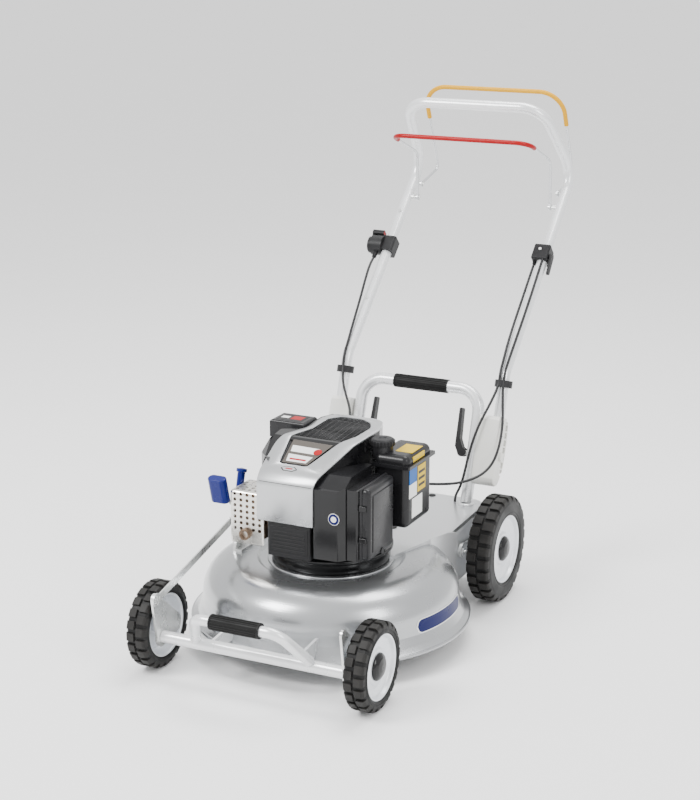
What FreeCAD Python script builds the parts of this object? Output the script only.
"""Self-propelled petrol rotary mower with a round mulching deck.

Millimetres, +Z up, front towards -Y, +X to the mower's own left.
Lengths along Y are measured from the front wheel axle; at export everything is
moved so that the origin lies on the ground under the middle of the machine.
"""
import math
import os

import FreeCAD
import Part

V = FreeCAD.Vector
X, Y, Z = V(1, 0, 0), V(0, 1, 0), V(0, 0, 1)

# wheels
front_r, front_w, front_out = 90.0, 48.0, 265.4      # radius, width, outer face
rear_r, rear_w, rear_out = 119.4, 56.0, 271.6
front_rim_r, rear_rim_r = 66.0, 76.0
wheelbase = 645.0
stub_r = 8.0
running_gap = 0.05
body_gap = 0.4                                       # between parts of different bodies
hub_cap_r = 31.0
wheel_end_gap = 11.6                                 # wheel shaft stops short of the outer face

# deck
deck_y = 310.0
seat_z, dome_top_z, lip_z = 170.0, 175.0, 46.0
dome_r, shoulder_r, lip_r = 272.0, 72.0, 299.0
deck_wall = 2.5
blade_r, blade_w, blade_t, blade_z = 262.0, 62.0, 4.0, 68.0
shaft_r = 12.5

# rear housing over the drive
housing_half_w, housing_rear_y = 190.0, 748.0
housing_front_z, housing_rear_z, housing_floor_z = 177.5, 192.0, 62.0
housing_wall = 2.0

# engine
ring_r, ring_top_z = 123.0, 206.0
ring_lip_r, ring_bore_r = ring_r + 9, ring_r - 27
sump_r, case_r, case_step_z, case_top_z = ring_r - 7, ring_r - 32, 252.0, 288.0
engine_top_z = 440.0
engine_front_y = 155.0
shroud_wall = 2.5

# rear lifting arch and handle
arch_half_w, arch_tube_r, arch_lean = 147.0, 14.0, 18.0
arch_top_y, arch_top_z = 781.0, 437.0
arch_foot_z, arch_wall = 184.0, 2.0
handle_half_w, handle_tube_r, handle_wall = 198.0, 12.5, 1.6
handle_top_y, handle_top_z = 1064.0, 1046.0
cam_z = 300.0
bolt_r = 5.0                                         # bolt that the handle folds on
cam_x, cam_r, cam_pin_r, cam_half = 122.0, 10.4, 3.5, 9.0
bracket_in, bracket_out = 162.5, 212.0
rod_r, sleeve_r = 3.5, 5.5

# front cross tube and carry bar
axle_y, axle_z, axle_r = -36.0, 81.0, 12.5
axle_half_w = 206.0
plate_t = 5.0
carry_y, carry_z, carry_r, grip_r, grip_half = -103.0, 165.0, 11.0, 16.0, 55.0
grip_gap = 0.1

# height lever and links
lever_y, lever_z = 262.0, 188.0
link_x0, link_x1 = -205.8, -202.8
pin_r = 4.0
arm_y, arm_z = 560.0, 130.0                          # pivot of the rear swing axle

cable_r = 3.0
cable_beside = handle_tube_r + 4.5                   # cable centre off the tube centre


# Helpers
def outline(points, place):
    """Closed wire. An entry ((mid), (end)) is an arc, any other entry ends a line."""
    here, edges = points[0], []
    for item in points[1:] + [points[0]]:
        if isinstance(item[0], tuple):
            mid, end = item
            edges.append(Part.Arc(place(*here), place(*mid), place(*end)).toShape())
        else:
            end = item
            if math.dist(here, end) < 1e-6:
                continue
            edges.append(Part.makeLine(place(*here), place(*end)))
        here = end
    return Part.Wire(edges)


def turned_z(points, y=deck_y, x=0.0):
    """Ring of (radius, height) points about a vertical axis."""
    face = Part.Face(outline(points, lambda r, z: V(x + r, y, z)))
    return face.revolve(V(x, y, 0), Z, 360)


def turned_x(points, y, z):
    """Ring of (x, radius) points about a cross axis."""
    face = Part.Face(outline(points, lambda x, r: V(x, y, z + r)))
    return face.revolve(V(0, y, z), X, 360)


def slab_x(points, x0, x1):
    """(y, z) outline pulled from x0 to x1."""
    return Part.Face(outline(points, lambda y, z: V(x0, y, z))).extrude(V(x1 - x0, 0, 0))


def slab_z(points, z0, z1):
    """(x, y) outline pulled from z0 to z1."""
    return Part.Face(outline(points, lambda x, y: V(x, y, z0))).extrude(V(0, 0, z1 - z0))


def box(x0, x1, y0, y1, z0, z1):
    return Part.makeBox(x1 - x0, y1 - y0, z1 - z0, V(x0, y0, z0))


def rod_x(r, x0, x1, y, z):
    return Part.makeCylinder(r, x1 - x0, V(x0, y, z), X)


def rod_z(r, z0, z1, y=deck_y, x=0.0):
    return Part.makeCylinder(r, z1 - z0, V(x, y, z0), Z)


def rod(r, start, end):
    start, end = V(*start), V(*end)
    return Part.makeCylinder(r, start.distanceToPoint(end), start, end - start)


def rounded(shape, radius, keep=lambda edge: True):
    """Rounds the straight and round edges that keep() picks."""
    edges = [e for e in shape.Edges if keep(e)]
    return shape.makeFillet(radius, edges) if edges else shape


def upright(edge):
    return abs(edge.BoundBox.ZLength - edge.Length) < 1e-3


def mirror_x(shape):
    return shape.mirror(V(0, 0, 0), X)


def spun(shape, centre, axis, angle):
    copy = shape.copy()
    copy.rotate(centre, axis, angle)
    return copy


def moved(shape, *shift):
    copy = shape.copy()
    copy.translate(V(*shift))
    return copy


def pair(shape):
    return Part.makeCompound([shape, mirror_x(shape)])


def joined(*shapes):
    solid = shapes[0].multiFuse(list(shapes[1:])) if len(shapes) > 1 else shapes[0]
    return solid.removeSplitter()


def bent(points, bends, r):
    """Round bar along points, with a tangent bend of the given radius at each inner point."""
    pts = [V(*p) for p in points]
    if not isinstance(bends, (list, tuple)):
        bends = [bends] * (len(pts) - 2)
    pieces, here = [], pts[0]
    for i, bend in enumerate(bends, start=1):
        into = (pts[i] - pts[i - 1]).normalize()
        away = (pts[i + 1] - pts[i]).normalize()
        turn = into.getAngle(away)
        reach = bend * math.tan(turn / 2)
        start, end = pts[i] - into * reach, pts[i] + away * reach
        axis = into.cross(away).normalize()
        centre = start + axis.cross(into) * bend
        if here.distanceToPoint(start) > 1e-3:
            pieces.append(Part.makeCylinder(r, here.distanceToPoint(start), here, into))
        disc = Part.Face(Part.Wire(Part.makeCircle(r, start, into)))
        pieces.append(disc.revolve(centre, axis, math.degrees(turn)))
        here = end
    last = pts[-1] - here
    pieces.append(Part.makeCylinder(r, last.Length, here, last))
    return joined(*pieces)


def turn_at(points, i):
    a, b, c = (V(*p) for p in points[i - 1:i + 2])
    return (b - a).getAngle(c - b)


def cord(points, r):
    """Cable tube: each bend is as large as its two runs allow."""
    points = [p for i, p in enumerate(points) if i in (0, len(points) - 1) or turn_at(points, i) > 0.01]
    pts = [V(*p) for p in points]
    bends = []
    for i, (a, b, c) in enumerate(zip(pts, pts[1:], pts[2:]), start=1):
        turn = turn_at(points, i)
        shorter = min(a.distanceToPoint(b), b.distanceToPoint(c))
        bends.append(0.45 * shorter / math.tan(turn / 2))
    return bent(points, bends, r)


def lean_point(along, across=0.0):
    """Point in the leaning plane of the arch: along is measured up the leg from the cam bolt."""
    t = math.radians(arch_lean)
    cam_y = arch_top_y - (arch_top_z - cam_z) * math.tan(t)
    return (cam_y + along * math.sin(t) + across * math.cos(t),
            cam_z + along * math.cos(t) - across * math.sin(t))


parts = {}

# Deck
def dome(t):
    """Outer skin of the deck moved in by t."""
    c = dome_r - shoulder_r
    zc = dome_top_z - shoulder_r
    k = (shoulder_r - t) * math.sqrt(0.5)
    return [(0, seat_z - t), (150, seat_z - t), (158, dome_top_z - t), (c, dome_top_z - t),
            ((c + k, zc + k), (dome_r - t, zc)), (dome_r + 3 - t, 80),
            ((dome_r + 9 - t, 64), (lip_r - t, 56 - t)), (lip_r - t, lip_z)]


outer, inner = dome(0), dome(deck_wall)
deck_solid = turned_z(outer + [(0, lip_z)])
deck_void = turned_z(inner + [(0, lip_z)])
belt_slot = box(-52, 52, deck_y + 150, deck_y + 300, 142, 169)
deck_shell = deck_solid.cut(deck_void).cut(rod_z(45, 150, 180))
parts["deck_shell"] = deck_shell.cut(belt_slot)


# Rear housing
def housing(t):
    """Block of the raised rear platform, moved in by t."""
    w, back = housing_half_w - t, housing_rear_y - t
    plan = [(-118 + t, 325), (118 - t, 325), (160 - t, 470), (w, 545), (w, back - 40),
            ((w - 12, back - 12), (w - 40, back)), (-w + 40, back),
            ((-w + 12, back - 12), (-w, back - 40)), (-w, 545), (-160 + t, 470)]
    side = [(300, housing_floor_z - (1 if t else 0)), (800, housing_floor_z - (1 if t else 0)),
            (800, housing_rear_z - t), (housing_rear_y, housing_rear_z - t),
            (325, housing_front_z - t), (300, housing_front_z - t)]
    return slab_z(plan, 50, 220).common(slab_x(side, -250, 250))


outside = housing(0)
outside = rounded(outside, 14, lambda e: e.BoundBox.ZMin > 183 and e.BoundBox.YMin > 540)
house = outside.cut(housing(housing_wall)).cut(deck_solid)
parts["rear_housing"] = house.cut(rod_z(ring_r + 3, seat_z - 40, ring_top_z + 40))

# Front cross tube, carry bar, grips
tube = rod_x(axle_r, -axle_half_w, axle_half_w, axle_y, axle_z)
gusset = slab_x([(axle_y - 4, axle_z + 9), (axle_y + 8, axle_z - 10), (70, 60), (70, 100)], 92, 98)
tube = joined(tube, gusset, mirror_x(gusset))
tube = tube.cut(rod_x(stub_r + running_gap, -axle_half_w - 1, axle_half_w + 1, axle_y, axle_z))
parts["front_axle_tube"] = tube.cut(deck_solid)

foot = (128, axle_y - 5, axle_z + 11)
knee = (92, carry_y, carry_z)
carry = bent([foot, knee, (-92, carry_y, carry_z), (-128, axle_y - 5, axle_z + 11)], 34, carry_r)
parts["front_carry_bar"] = carry.cut(rod_x(axle_r, -axle_half_w, axle_half_w, axle_y, axle_z))

cam_y = lean_point(0)[0]
leg_below_cam = (arch_foot_z - cam_z) / math.cos(math.radians(arch_lean))
arch_foot_y = lean_point(leg_below_cam)[0]
arch_bend = 52.0
arch_path = [(arch_half_w, *lean_point(leg_below_cam)), (arch_half_w, arch_top_y, arch_top_z)]
arch_path = arch_path + [(-x, y, z) for x, y, z in reversed(arch_path)]
arch = bent(arch_path, arch_bend, arch_tube_r)
foot_flange = rod_z(arch_tube_r + 5, arch_foot_z, housing_rear_z + 3, y=arch_foot_y + 2, x=arch_half_w)
arch = joined(arch, foot_flange, mirror_x(foot_flange))
arch = arch.cut(bent(arch_path, arch_bend, arch_tube_r - arch_wall))
arch = arch.cut(rod_x(bolt_r + running_gap, -170, 170, cam_y, cam_z)).cut(outside)
parts["rear_arch"] = arch


def hand_grip(y, z, r_in, half):
    """Ribbed rubber sleeve on a straight cross bar."""
    body = rod_x(grip_r, -half, half, y, z)
    return body.cut(rod_x(r_in, -half - 1, half + 1, y, z))


parts["lift_grips"] = Part.makeCompound([
    hand_grip(carry_y, carry_z, carry_r + grip_gap, grip_half),
    hand_grip(arch_top_y, arch_top_z, arch_tube_r + grip_gap, 67)])

# Engine
ring = turned_z([(ring_r, seat_z), (ring_r + 3, seat_z + 8), (ring_r + 3, ring_top_z - 10),
                 (ring_lip_r, ring_top_z - 6), (ring_lip_r, ring_top_z),
                 (ring_bore_r, ring_top_z), (ring_bore_r, seat_z)])
parts["engine_base_ring"] = ring

crank_room = joined(rod_z(sump_r, ring_top_z, case_step_z), rod_z(case_r, case_step_z, case_top_z))
parts["crankcase"] = crank_room.cut(rod_z(shaft_r + running_gap, 200, 300))

block = box(-72, 27, engine_front_y + 4, deck_y - 60, 214, 287)
block = rounded(block, 5, upright)
for k in range(6):
    z = 226 + 9 * k
    block = block.cut(box(-80, 40, 180, 240, z, z + 4))
block = block.cut(crank_room)
parts["cylinder_block"] = block

# the shroud: a wedge that widens towards the cooling grille
shroud_plan = [(-88, engine_front_y), (32, engine_front_y), (66, 300), (72, 395), (58, 440), (20, 468),
               (-60, 468), (-78, 420), (-78, 340), (-122, 318), (-118, 260)]
shroud_side = [(100, 288), (520, 288), (520, 418), (450, engine_top_z), (400, engine_top_z),
               (285, 432), (172, 389), (engine_front_y, 372), (100, 372)]


def shroud_block(t):
    plan = [(x + (t if x < 0 else -t), y + (t if y < 300 else -t)) for x, y in shroud_plan]
    side = [(y, z - t if z > 300 else z - (5 if t else 0)) for y, z in shroud_side]
    return slab_z(plan, 280, 460).common(slab_x(side, -200, 200))


grille_plan = [(-96, 292), (34, 292), (54, 330), (60, 392), (44, 428), (14, 448), (-42, 448), (-62, 418),
               (-62, 345)]
shroud = shroud_block(0).cut(shroud_block(shroud_wall))
window_plan = [(-70, 205), (-2, 205), (26, 262), (-84, 276)]
shroud = shroud.cut(slab_z(grille_plan, 395, 470)).cut(slab_z(window_plan, 380, 470))

grille_block = shroud_block(shroud_wall)
lowered = shroud_block(shroud_wall + 4)
window_frame = [(-73, 202), (1, 202), (30, 265), (-88, 279)]
window = slab_z(window_frame, 380, 470).common(grille_block).cut(lowered)
parts["engine_shroud"] = joined(shroud, window)
parts["cooling_grille"] = slab_z(grille_plan, 395, 470).common(grille_block).cut(lowered)

cowl = slab_z([(33, engine_front_y + 3), (88, engine_front_y + 6), (100, 175), (100, 300), (33, 300)],
              222, 392)
cowl = cowl.cut(slab_x([(100, 400), (100, 352), (165, 372), (250, 420), (250, 460)], 0, 140))
cowl = rounded(cowl, 4, upright)
cowl = cowl.cut(shroud_block(0)).cut(rod_z(sump_r + 2, 200, 300)).cut(rod_z(76, 200, 450))
parts["side_cowl"] = cowl

tray = slab_z([(-124, 235), (-92, 200), (-91, 222), (-119.5, 262), (-123, 319), (-79, 341), (-79, 404),
               (-158, 404), (-158, 335)], 300, 406)
tray = tray.cut(shroud_block(0)).cut(rod_z(76, 280, 450)).cut(box(-180, -90, 186, 276, 200, 334))
parts["battery_tray"] = max(tray.Solids, key=lambda solid: solid.Volume)

battery_out, battery_in, battery_base_z, battery_top_z = -162.0, -80.5, 406.4, 444.0
battery = rounded(box(battery_out, battery_in, 341, 404, battery_base_z, battery_top_z), 5,
                  lambda e: e.BoundBox.ZMin > battery_base_z + 1)
latch_face = battery_out - 6
latch = rounded(box(latch_face, battery_out, 352, 384, battery_base_z - 4, battery_top_z - 8), 2,
                lambda e: e.BoundBox.XMax < latch_face + 1)
parts["battery"] = Part.makeCompound([battery, latch])

cap_at = (346.0, 102.0)                              # along Y, along X
tank_wall, seam_z, neck_r, neck_bore_r, neck_top_z = 3.0, 384.0, 22.0, 17.0, 421.0


def tank_block(t):
    """Body of the fuel tank, moved in by t."""
    return rounded(box(93 + t, 172 - t, 318 + t, 442 - t, 253 + t, 410 - t), 14 - t)


seam = rounded(box(88, 178, 312, 448, seam_z, seam_z + 7), 3, upright)
tank = joined(tank_block(0), seam, rod_z(neck_r, 395, neck_top_z, *cap_at))
tank = tank.cut(tank_block(tank_wall)).cut(rod_z(neck_bore_r, 400, neck_top_z + 9, *cap_at))
parts["fuel_tank"] = tank.cut(shroud_block(0))

cap_r, cap_base_z, cap_h, cap_notches = 26.0, neck_top_z + body_gap, 14.6, 18
cap = turned_z([(0, cap_base_z + cap_h), (cap_r - 3, cap_base_z + cap_h), (cap_r, cap_base_z + cap_h - 3),
                (cap_r, cap_base_z), (0, cap_base_z)], *cap_at)
for k in range(cap_notches):
    a = 2 * math.pi * k / cap_notches
    notch = rod_z(1.6, cap_base_z + 0.6, cap_base_z + cap_h - 2,
                  cap_at[0] + (cap_r + 1) * math.sin(a), cap_at[1] + (cap_r + 1) * math.cos(a))
    cap = cap.cut(notch)
parts["fuel_cap"] = joined(cap, rod_z(neck_bore_r - 0.5, 408, cap_base_z, *cap_at))

cover_x0, cover_x1, cover_wall = 126.4, 152.0, 3.0
filter_box = rounded(box(100.3, cover_x0 - body_gap, 178, 306, 222, 372), 6, lambda e: e.BoundBox.XMin > 101)
filter_box = filter_box.cut(box(108, cover_x0, 186, 298, 230, 364))
parts["filter_box"] = filter_box.cut(rod_z(sump_r + 0.5, 200, 255))
lid = rounded(box(cover_x0, cover_x1, 182, 302, 224, 376), 12, lambda e: e.BoundBox.XMin > 127)
lid_room = box(cover_x0 - 0.4, cover_x1 - cover_wall, 182 + cover_wall, 302 - cover_wall,
               224 + cover_wall, 376 - cover_wall)
parts["filter_cover"] = lid.cut(rounded(lid_room, 12 - cover_wall, lambda e: e.BoundBox.XMin > 127))

can = rounded(box(-168, -102, 206, 262, 222, 322), 10, lambda e: True)
outlet_x, outlet_z, outlet_front_y, outlet_back_y = -139.0, 238.0, 181.0, 220.0
outlet_r, outlet_bore_r = 12.0, 8.5


def along_outlet(r, front, back):
    """Cylinder on the axis of the exhaust outlet."""
    return rod(r, (outlet_x, back, outlet_z), (outlet_x, front, outlet_z))


inlet = box(-104, 36 - sump_r, 216, 246, 250, 282)
can = joined(can, along_outlet(outlet_r, outlet_front_y, 212), inlet)
can = can.cut(along_outlet(outlet_bore_r, outlet_front_y - 1, outlet_back_y))
can = can.cut(crank_room).cut(shroud_block(0)).cut(parts["cylinder_block"])
parts["muffler"] = max(can.Solids, key=lambda solid: solid.Volume)
guard = rounded(box(-177, -94, 190, 272, 212, 330), 8, lambda e: e.BoundBox.YMin < 195
                or e.BoundBox.ZMin > 325)
guard = guard.cut(box(-174.5, -80, 192.5, 280, 200, 327.5))
guard = guard.cut(along_outlet(outlet_r + 4, 180, 200))
guard = joined(guard, box(-174.5, -96, 192.5, 214, 212, 215))
for col in range(5):
    for row in range(5):
        x, z = -166 + 16 * col, 262 + 14 * row
        guard = guard.cut(rod(3.4, (x, 185, z), (x, 200, z)))
parts["muffler_guard"] = guard.cut(shroud_block(0))

plug = joined(rod(5, (-20, 176, 300), (-20, 176, 318)), rod(9, (-20, 176, 318), (-20, 176, 345)))
parts["spark_plug"] = joined(plug, rod(7, (-20, 176, 287), (-20, 176, 300)))

# Crank, fan, blade
crank = joined(rod_z(shaft_r, 112, 352), rod_z(shaft_r + 6, 292.5, 300))
crank = crank.cut(rod_z(4.2, 100, 150))
parts["crankshaft"] = crank
fan = joined(rod_z(40, 304, 330), rod_z(60, 330, 336))
for k in range(16):
    vane = box(38, 58, deck_y - 1.5, deck_y + 1.5, 336, 352)
    fan = fan.fuse(spun(vane, V(0, deck_y, 0), Z, 22.5 * k))
parts["flywheel_fan"] = fan.removeSplitter().cut(rod_z(shaft_r, 290, 360))

pulley_z, belt_h, crank_pulley_r = 155.0, 9.0, 26.0
adapter = turned_z([(0, blade_z + blade_t), (22, blade_z + blade_t), (22, 100), (crank_pulley_r + 6, 138),
                    (crank_pulley_r + 6, pulley_z - belt_h / 2 - 1),
                    (crank_pulley_r, pulley_z - belt_h / 2 - 1),
               (crank_pulley_r, pulley_z + belt_h / 2 + 1),
                    (crank_pulley_r + 6, pulley_z + belt_h / 2 + 1), (crank_pulley_r + 6, 164), (0, 164)])
adapter = adapter.cut(rod_z(shaft_r, 112, 200)).cut(rod_z(4.2, 60, 130))
parts["blade_adapter"] = adapter

bar = box(-blade_r, blade_r, deck_y - blade_w / 2, deck_y + blade_w / 2, blade_z, blade_z + blade_t)
bar = bar.common(rod_z(blade_r, blade_z - 1, blade_z + 10))
wing = slab_x([(deck_y - 31, blade_z), (deck_y - 17, blade_z), (deck_y - 31, blade_z + 26),
               (deck_y - 34, blade_z + 26)], 176, 246)
lift = wing.common(rod_z(blade_r, 60, 120))
bar = joined(bar, lift, spun(lift, V(0, deck_y, 0), Z, 180))
parts["blade"] = bar.cut(rod_z(4.2, 60, 80))
head = turned_z([(0, blade_z - 9), (11, blade_z - 9), (11, blade_z - 2.5), (20, blade_z - 2.5),
                 (20, blade_z), (4, blade_z), (4, 140), (0, 140)])
parts["blade_bolt"] = head

# Drive and rear axle
input_y, input_r = 612.0, 34.0
cross_tube = (686.0, 112.0)
half_belt = belt_h / 2


def loop_z(r1, r2, grow, z0, z1):
    """Solid of the outline round two pulleys on the centre line."""
    a, b = r1 + grow, r2 + grow
    lean = math.asin((b - a) / (input_y - deck_y))
    c, s = math.cos(lean), -math.sin(lean)
    left1, left2 = (-a * c, deck_y + a * s), (-b * c, input_y + b * s)
    right1, right2 = (a * c, deck_y + a * s), (b * c, input_y + b * s)
    return slab_z([left1, left2, ((0, input_y + b), right2), right1, ((0, deck_y - a), left1)], z0, z1)


low, high = pulley_z - half_belt, pulley_z + half_belt
belt = loop_z(crank_pulley_r, input_r, 6, low, high)
parts["drive_belt"] = belt.cut(loop_z(crank_pulley_r, input_r, body_gap, low - 1, high + 1))

input_pulley = turned_z([(6, low - 3), (input_r + 5, low - 3), (input_r + 5, low - 1), (input_r, low - 1),
                         (input_r, high + 1), (input_r + 5, high + 1), (input_r + 5, high + 3),
                         (6, high + 3)], y=input_y)
parts["gearbox_pulley"] = joined(input_pulley, rod_z(6, 132, high + 7, y=input_y))

case = rounded(box(-36, 36, 596, 692, 90, 143), 9)
case = joined(case, rod_x(20, -52, 52, wheelbase, rear_r))
case = case.cut(rod_x(stub_r + running_gap, -60, 60, wheelbase, rear_r))
case = case.cut(rod_x(9, -60, 60, *cross_tube))
parts["gearbox"] = case.cut(rod_z(6 + running_gap, 130, 150, y=input_y))

shaft_end = rear_out - wheel_end_gap
parts["drive_shaft"] = rod_x(stub_r, -shaft_end, shaft_end, wheelbase, rear_r)

arm_x0, arm_x1 = 193.0, 199.0
link_rise = 71.6
arm = slab_x([(arm_y - 13, arm_z), ((arm_y, arm_z - 14), (arm_y + 12, arm_z - 12)),
              (wheelbase, rear_r - 20), (694, 100), (698, 124), (wheelbase + 16, rear_r + 18),
              (arm_y + 12, arm_z + 16), ((arm_y, arm_z + 18), (arm_y - 13, arm_z + 4))], arm_x0, arm_x1)
lug = slab_x([(arm_y - 10, arm_z), (arm_y - 8, arm_z + link_rise), ((arm_y, arm_z + link_rise + 9),
              (arm_y + 8, arm_z + link_rise)), (arm_y + 12, arm_z)], -arm_x1, -arm_x0)
link_pin = rod_x(pin_r, -207, -arm_x0, arm_y, arm_z + link_rise)
swing = joined(arm, mirror_x(arm), rod_x(9, -arm_x0, arm_x0, *cross_tube), lug, link_pin)
swing = swing.cut(rod_x(stub_r + running_gap, -210, 210, wheelbase, rear_r))
parts["rear_swing_axle"] = swing.cut(rod_x(6 + running_gap, -202, 202, arm_y, arm_z))

pivot = joined(rod_x(6, housing_half_w - 4, arm_x1 + 0.4, arm_y, arm_z),
               rod_x(9, arm_x1 + 0.4, arm_x1 + 3.4, arm_y, arm_z),
               rod_x(9, housing_half_w - 4, arm_x0 - 0.4, arm_y, arm_z))
side_gap = box(150, 200, 624, 708, 50, 146)
house = parts["rear_housing"].cut(side_gap).cut(mirror_x(side_gap))
parts["rear_housing"] = joined(house, pivot, mirror_x(pivot))


# Wheels
def tyre(r, width, outside, rim):
    a, b = outside - width, outside
    return [(a + 2, rim), (a, rim + 6), (a, r - 9), (a + 3, r - 3), (a + 8, r), (b - 8, r), (b - 3, r - 3),
            (b, r - 9), (b, rim + 6), (b - 2, rim)]


def rim_disc(width, outside, rim):
    a, b = outside - width, outside
    face = b - 13
    return [(a + 2, rim), (b - 2, rim), (b - 3, rim - 3), (face, rim - 6), (face - 2, hub_cap_r + 4),
            (face + 2, hub_cap_r), (face + 2, 19), (face + 1, stub_r + running_gap),
            (a + 2, stub_r + running_gap), (a + 2, 18), (face - 5, 19), (face - 5, hub_cap_r + 2),
            (face - 4, rim - 9), (a + 4, rim - 4)]


def hub_cap(outside, rise=13.0):
    base = outside - 11
    ball = (hub_cap_r ** 2 + rise ** 2) / (2 * rise)
    middle, half = base + rise - ball, math.asin(hub_cap_r / ball) / 2
    halfway = (middle + ball * math.cos(half), ball * math.sin(half))
    return [(base, hub_cap_r), (halfway, (base + rise, 0)), (base, 0)]


for name, side, y, r, w, out, rim in (
        ("front_left", 1, 0.0, front_r, front_w, front_out, front_rim_r),
        ("front_right", -1, 0.0, front_r, front_w, front_out, front_rim_r),
        ("rear_left", 1, wheelbase, rear_r, rear_w, rear_out, rear_rim_r),
        ("rear_right", -1, wheelbase, rear_r, rear_w, rear_out, rear_rim_r)):
    solids = [turned_x(tyre(r, w, out, rim), y, r),
              turned_x(rim_disc(w, out, rim), y, r), turned_x(hub_cap(out), y, r)]
    if side < 0:
        solids = [mirror_x(s) for s in solids]
    parts["tyre_" + name] = solids[0]
    parts["rim_" + name] = Part.makeCompound(solids[1:])

# Front swing axle
front_pin = (-60.0, 168.0)
plate_x0 = axle_half_w + 0.6
plate = slab_x([(-71, 166), ((-64, 180), (-50, 174)), (26, 110), ((34, 92), (26, 74)), (-36, 61),
                ((-54, 68), (-57, 84))], plate_x0, plate_x0 + plate_t)
stub = rod_x(stub_r, plate_x0, front_out - wheel_end_gap, 0, front_r)
collar = rod_x(15, plate_x0 + plate_t, front_out - front_w + 1.6, 0, front_r)
pin = rod_x(pin_r, -plate_x0 - 1, -201.5, *front_pin)
swing = joined(plate, mirror_x(plate), stub, mirror_x(stub), collar, mirror_x(collar),
               rod_x(stub_r, -plate_x0, plate_x0, axle_y, axle_z), pin)
parts["front_swing_axle"] = swing

# Height lever, links
stand = slab_x([(226, 150), (300, 150), (288, 190), ((262, 206), (240, 190))], -197, -191)
stand = stand.cut(rod_x(6 + running_gap, -200, -190, lever_y, lever_z)).cut(deck_solid)
parts["lever_bracket"] = joined(stand, box(-191, -176, 236, 288, 150, 180).cut(deck_solid))

drive_pin = (lever_y - 14.0, lever_z + 53.0)
fork = (250.0, 284.0)
grip_at = (187.0, 327.0)
strap = slab_x([(lever_y - 12, lever_z), ((lever_y, lever_z - 12), (lever_y + 12, lever_z)),
                (fork[0] + 10, fork[1]), (fork[0] - 10, fork[1] + 4), (lever_y - 24, lever_z + 50)],
               -202, -198)
stem = bent([(-200, fork[0] + 2, fork[1] - 14), (-200, 214, 300), (-200, *grip_at)], 12, 4)
lever = joined(strap, stem, rod_x(6, -202, -186, lever_y, lever_z),
               rod_x(pin_r, -211.5, -200, *drive_pin), rod_x(pin_r, -206.6, -200, lever_y, lever_z + 20))
knob_tilt = -16.0
knob_seat = spun(rod_z(8, -16, 2, y=0, x=-194), V(-192, 0, 0), X, knob_tilt)
knob_base = (254.0, 290.0)
seat = moved(knob_seat, 0, *knob_base).cut(moved(spun(rod_z(3 + running_gap, -20, 40, y=0, x=-192),
                                                     V(-192, 0, 0), X, knob_tilt), 0, *knob_base))
parts["height_lever"] = joined(lever, seat)
knob = turned_z([(0, 10.5), (6, 12), (8, 20), (8.5, 54), (11.5, 56), (11.5, 62), (0, 64)], y=0, x=-192)
knob = spun(joined(knob, rod_z(3, -14, 12, y=0, x=-192)), V(-192, 0, 0), X, knob_tilt)
parts["lever_knob"] = moved(knob, 0, *knob_base)
hand = Part.Face(outline([(-210, -11), ((-221, 0), (-210, 11)), (-190, 11), ((-179, 0), (-190, -11))],
                         lambda x, y: V(x, y, -29))).extrude(V(0, 0, 58))
hand = rounded(hand, 3, lambda e: abs(e.BoundBox.ZLength) < 1)
hand = moved(spun(hand, V(-200, 0, 0), X, 16), 0, *grip_at)
parts["lever_grip"] = hand.cut(stem)


def flat_link(x0, x1, start, end, width, end_hole):
    """Flat bar with an eye at each end."""
    length = math.dist(start, end)
    h = width / 2
    eye = max(h, end_hole + 3.5)
    body = slab_x([(0, -h), (length, -h), ((length + h, 0), (length, h)), (0, h)], x0, x1)
    body = joined(body, rod_x(eye, x0, x1, 0, 0))
    body = body.cut(rod_x(end_hole, x0 - 1, x1 + 1, 0, 0))
    body = body.cut(rod_x(pin_r + running_gap, x0 - 1, x1 + 1, length, 0))
    rise = math.degrees(math.atan2(end[1] - start[1], end[0] - start[0]))
    return moved(spun(body, V(0, 0, 0), X, rise), 0, *start)


open_eye = pin_r + 6.5
parts["front_link"] = flat_link(link_x0, link_x1, front_pin, drive_pin, 15, open_eye)
rear_end = (arm_y, arm_z + link_rise)
parts["rear_link"] = flat_link(link_x0, link_x1, rear_end, (lever_y, lever_z + 20), 13, pin_r + 4)

# Handle clamps
def leaned(shape):
    """From a frame with +Z up the leg and origin on the cam bolt to its place."""
    return moved(spun(shape, V(0, 0, 0), X, -arch_lean), 0, cam_y, cam_z)


tube_hole = rod_z(handle_tube_r, 24, 200, y=0, x=handle_half_w)
clamp = slab_x([(-30, -50), ((-14, -66), (14, -60)), (30, -34), ((37, 20), (30, 78)), (24, 88), (-22, 90),
                (-30, 82)], bracket_in, bracket_out)
clamp = rounded(clamp, 4, lambda e: e.BoundBox.XMin > bracket_out - 1)
pocket_pitch, pocket_h, pocket_depth = 17.0, 13.0, 9.0
for k in range(8):
    z = -42 + pocket_pitch * k
    clamp = clamp.cut(box(bracket_out - pocket_depth, bracket_out + 1, 14, 28, z, z + pocket_h))
clamp = clamp.cut(tube_hole)
cam_pin = Part.makeCylinder(cam_pin_r, 2 * cam_half, V(cam_x, -cam_half, 0), Y)
cam_bore = Part.makeCylinder(cam_pin_r + running_gap, 2 * cam_half, V(cam_x, -cam_half, 0), Y)
bolt_head = rod_x(2 * bolt_r, bracket_out, bracket_out + 6, 0, 0)
bolt = joined(rod_x(bolt_r, cam_x - 5.5, bracket_out + 5, 0, 0), bolt_head)
parts["handle_brackets"] = pair(leaned(joined(clamp, bolt.cut(cam_bore))))

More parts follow.
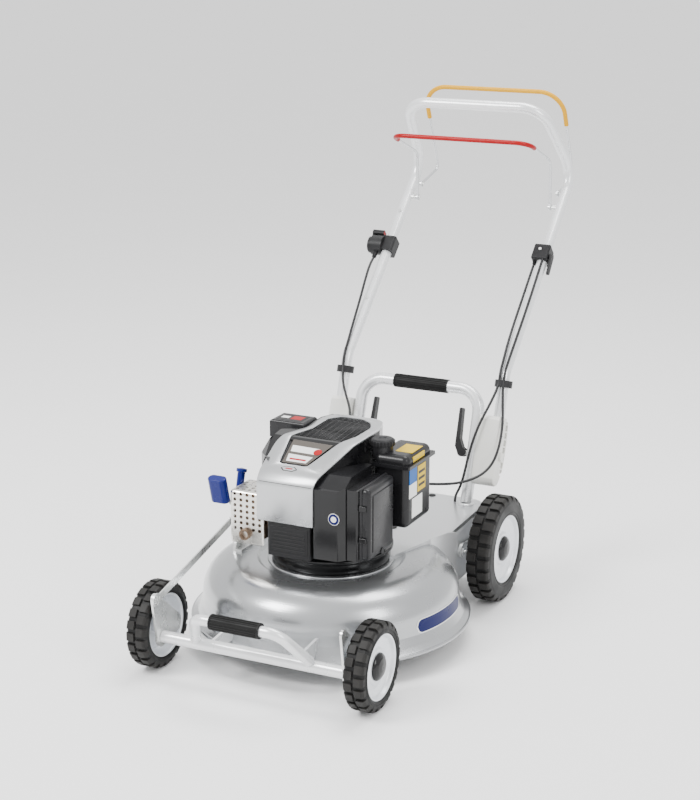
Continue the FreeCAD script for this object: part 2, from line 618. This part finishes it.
blade_plan = [(113, -4), (124, 9), (114, 30), (111, 96), ((107.5, 100), (104, 96)), (104.5, 12)]
cam = Part.Face(outline(blade_plan, lambda x, z: V(x, -cam_half, z))).extrude(V(0, 2 * cam_half, 0))
hub = Part.makeCylinder(cam_r, 2 * cam_half, V(cam_x, -cam_half, 0), Y)
cam = joined(cam, hub).cut(box(108, 140, -bolt_r - body_gap, bolt_r + body_gap, -11, 11))
cam = leaned(joined(cam, cam_pin))
parts["cam_lever_left"] = cam
parts["cam_lever_right"] = mirror_x(cam)

# Handlebar
bend_low, bend_back, bend_top = lean_point(189), (1213.0, 880.0), (handle_top_y, handle_top_z)
top_half_w = 171.0
path = [(handle_half_w, *lean_point(24)), (handle_half_w, *bend_low), (handle_half_w, *bend_back),
        (top_half_w, *bend_top)]
path = path + [(-x, y, z) for x, y, z in reversed(path)]
bends = [60, 58, 62, 62, 58, 60]
bar = bent(path, bends, handle_tube_r).cut(bent(path, bends, handle_tube_r - handle_wall))
bar = joined(*bar.Solids)
slope = math.atan2(bend_back[1] - bend_low[1], bend_back[0] - bend_low[0])


def on_tube(y, off=0.0):
    """(y, z) on the straight upper run of the handle, off it towards the front."""
    z = bend_low[1] + (y - bend_low[0]) * math.tan(slope)
    return (y - off * math.sin(slope), z + off * math.cos(slope))


brake_pivot, drive_pivot = on_tube(1135), on_tube(1168, -5)
studs = [joined(rod_x(6.5, 178.6, 192, *brake_pivot), rod_x(pin_r, 166, 180, *brake_pivot)),
         joined(rod_x(6.5, 182.2, 192, *drive_pivot), rod_x(pin_r, 172, 184, *drive_pivot))]
studs = [stud.cut(bent(path, bends, handle_tube_r - handle_wall / 2)) for stud in studs]
parts["handlebar"] = joined(bar, *studs, *[mirror_x(s) for s in studs])


# Bails
def bail(pivot, x, points, bends, sleeve_from, sleeve_bends):
    """Bent rod with an eye at each end and a plastic sleeve over its cross bar."""
    half = [(x, *pivot)] + [(x, *p) for p in points]
    whole = half + [(-a, b, c) for a, b, c in reversed(half)]
    steel = bent(whole, bends + bends[::-1], rod_r)
    eye = rod_x(8, x - 3.2, x + 3.2, *pivot)
    steel = joined(steel, eye, mirror_x(eye))
    hole = rod_x(pin_r + running_gap, 150, 200, *pivot)
    steel = steel.cut(hole).cut(mirror_x(hole))
    cover = [(x, *sleeve_from), (x, *points[-1]), (-x, *points[-1]), (-x, *sleeve_from)]
    sleeve = bent(cover, sleeve_bends, sleeve_r).cut(bent(cover, sleeve_bends, rod_r))
    return Part.makeCompound([steel, sleeve])


def between(start, end, share):
    """Point on the way from start to end."""
    return tuple(a + (b - a) * share for a, b in zip(start, end))


brake_knee, brake_bar = (1130.0, 917.0), (975.0, 976.0)
brake_end = between(brake_knee, brake_bar, 0.74)
parts["brake_bail"] = bail(brake_pivot, 172.0, [brake_knee, brake_bar], [30, 34], brake_end, [34, 34])
drive_knee, drive_bar = (1278.0, 860.0), (1180.0, 1072.0)
drive_end = between(drive_knee, drive_bar, 0.62)
parts["drive_bail"] = bail(drive_pivot, 178.0, [drive_knee, drive_bar], [16, 58], drive_end, [58, 58])


# Controls on the tubes
def sloped(shape, y):
    """From a frame with +Z up the tube and origin on its axis to height y on the upper run."""
    return moved(spun(shape, V(0, 0, 0), X, math.degrees(slope) - 90), 0, *on_tube(y))


bore = rod_z(handle_tube_r + grip_gap, -60, 60, y=0, x=-handle_half_w)
pod = joined(rounded(box(-216, -180, -18, 18, -20, 20), 6, upright),
             rod_x(24, -238, -208, -4, -2))
boot = joined(rod_z(5.5, -40, -20, y=-8, x=-222), rod_z(7, -26, -16, y=-8, x=-222))
pod = joined(pod, boot).cut(bore)
pod = pod.cut(rod_x(6 + running_gap, -240, -226, -4, -2))
parts["control_pod"] = sloped(pod, 1024)
knob = joined(rod_x(20, -246, -238.6, -4, -2), rod_x(6, -240, -227, -4, -2))
thumb = rounded(box(-246, -217, -16, 2, 25, 37), 4, lambda e: e.Length > 20)
knob = joined(knob, box(-246, -239.4, -12, 0, 8, 34), thumb)
parts["pod_knob"] = sloped(knob, 1024)

bore = rod_z(handle_tube_r + grip_gap, -60, 60, y=0, x=handle_half_w)
box_side_x = handle_half_w + handle_tube_r + 2.5
case = rounded(box(173, box_side_x, -19, 17, -21, 21), 4)
cable_socket = rod_z(4.5, -26, -20, y=0, x=179.5)
case = joined(case, rod_x(5, box_side_x - 1, box_side_x + 2, -4, -6), cable_socket).cut(bore)
case = case.cut(rod_x(2.5 + running_gap, box_side_x - 2.2, box_side_x + 3, -4, -6))
parts["control_box"] = sloped(case, 1034)
tab_x = box_side_x + 2 + body_gap
tab = slab_x([(-12, -6), (4, -6), (10, -44), ((4, -50), (-2, -44))], tab_x, tab_x + 5.6)
tab = joined(tab, rod_x(8, tab_x, tab_x + 5.6, -4, -6), rod_x(2.5, box_side_x - 2, box_side_x + 3, -4, -6))
parts["control_box_lever"] = sloped(tab, 1034)

clip_r, clip_h = handle_tube_r + 7.5, 16.0


def clip(low_end):
    """Cable clip round the leg, low_end up from the cam bolt."""
    ear = box(handle_half_w - 8, handle_half_w + 8, 12, 25, low_end + 2, low_end + clip_h - 2)
    body = joined(rod_z(clip_r, low_end, low_end + clip_h, y=0, x=handle_half_w), ear)
    hole = rod_z(handle_tube_r + grip_gap, low_end - 1, low_end + clip_h + 1, y=0, x=handle_half_w)
    return leaned(body.cut(hole))



# Cables
def round_corner(off):
    """(y, z) off the outside of the low bend of the handle."""
    turn = math.radians(arch_lean) + (math.pi / 2 - math.radians(arch_lean) - slope) / 2
    return (bend_low[0] - off * math.cos(turn), bend_low[1] + off * math.sin(turn))


pod_route = [(-222, *on_tube(1024 - 28.6, 7.8)), (-221, *on_tube(977, cable_beside - 1)),
             (-216, *on_tube(941, cable_beside + 2)), (-210, *on_tube(899, cable_beside + 1)),
             (-204, *on_tube(840, cable_beside)), (-200, *on_tube(812, cable_beside)),
             (-199, *round_corner(cable_beside)), (-198, *lean_point(158, -cable_beside)),
             (-188, 749, 424), (-170, 731, 398),
             (-150, 708, 378), (-131, 672, 362), (-112, 626, 349), (-92, 576, 338), (-72, 528, 329),
             (-56, 490, 322), (-50, 468.2, 317)]
inside_x = handle_half_w - cable_beside - 1.5
drive_route = [(inside_x, *on_tube(1034 - 18.8)), (inside_x, *on_tube(979, 0)),
               (inside_x, *on_tube(937, 1)), (inside_x + 1.5, *on_tube(893, 4)),
               (handle_half_w - 0.72 * cable_beside, *on_tube(846, 0.72 * cable_beside)),
               (191, *on_tube(814, cable_beside)), (192.5, *round_corner(cable_beside)),
               (192.7, *lean_point(158, -cable_beside)), (184, 743, 420), (171, 722, 385),
               (160, 706, 345), (152, 696, 304), (147, 687, 266), (139, 686, 236), (126, 693, 213),
               (120, 702, 200), (118, 705, 190)]
brake_route = [(203, *on_tube(1034 - 15.4, cable_beside - 1)), (203.5, *on_tube(982, cable_beside - 1)),
               (205, *on_tube(941, cable_beside)), (205, *on_tube(897, cable_beside)),
               (204, *on_tube(844, cable_beside)), (203.5, *on_tube(812, cable_beside)),
               (203.4, *round_corner(cable_beside)),
               (203.3, *lean_point(158, -cable_beside)), (211, 751, 418), (219, 733, 380),
               (222, 711, 341), (221, 684, 310), (213, 655, 290), (196, 625, 279), (172, 592, 275),
               (147, 558, 279), (122, 522, 287), (95, 491, 295), (68, 470, 300), (42, 453.6, 303)]
shell = shroud_block(0)
parts["pod_cable"] = cord(pod_route, cable_r).cut(shell).cut(parts["control_pod"])
parts["drive_cable"] = cord(drive_route, cable_r).cut(parts["rear_housing"]).cut(parts["control_box"])
parts["brake_cable"] = cord(brake_route, cable_r).cut(shell).cut(parts["control_box"])
left_clip = clip(157).cut(parts["drive_cable"]).cut(parts["brake_cable"])
right_clip = mirror_x(clip(147)).cut(parts["pod_cable"])
parts["cable_clips"] = Part.makeCompound([left_clip, right_clip])

# Export
rearmost = max(shape.BoundBox.YMax for shape in parts.values())
foremost = min(shape.BoundBox.YMin for shape in parts.values())
shift = -(rearmost + foremost) / 2
os.makedirs("parts", exist_ok=True)
for name, shape in parts.items():
    moved(shape, 0, shift, 0).exportStep(f"parts/{name}.step")
print("parts", len(parts), "moved along Y by", round(shift, 3))
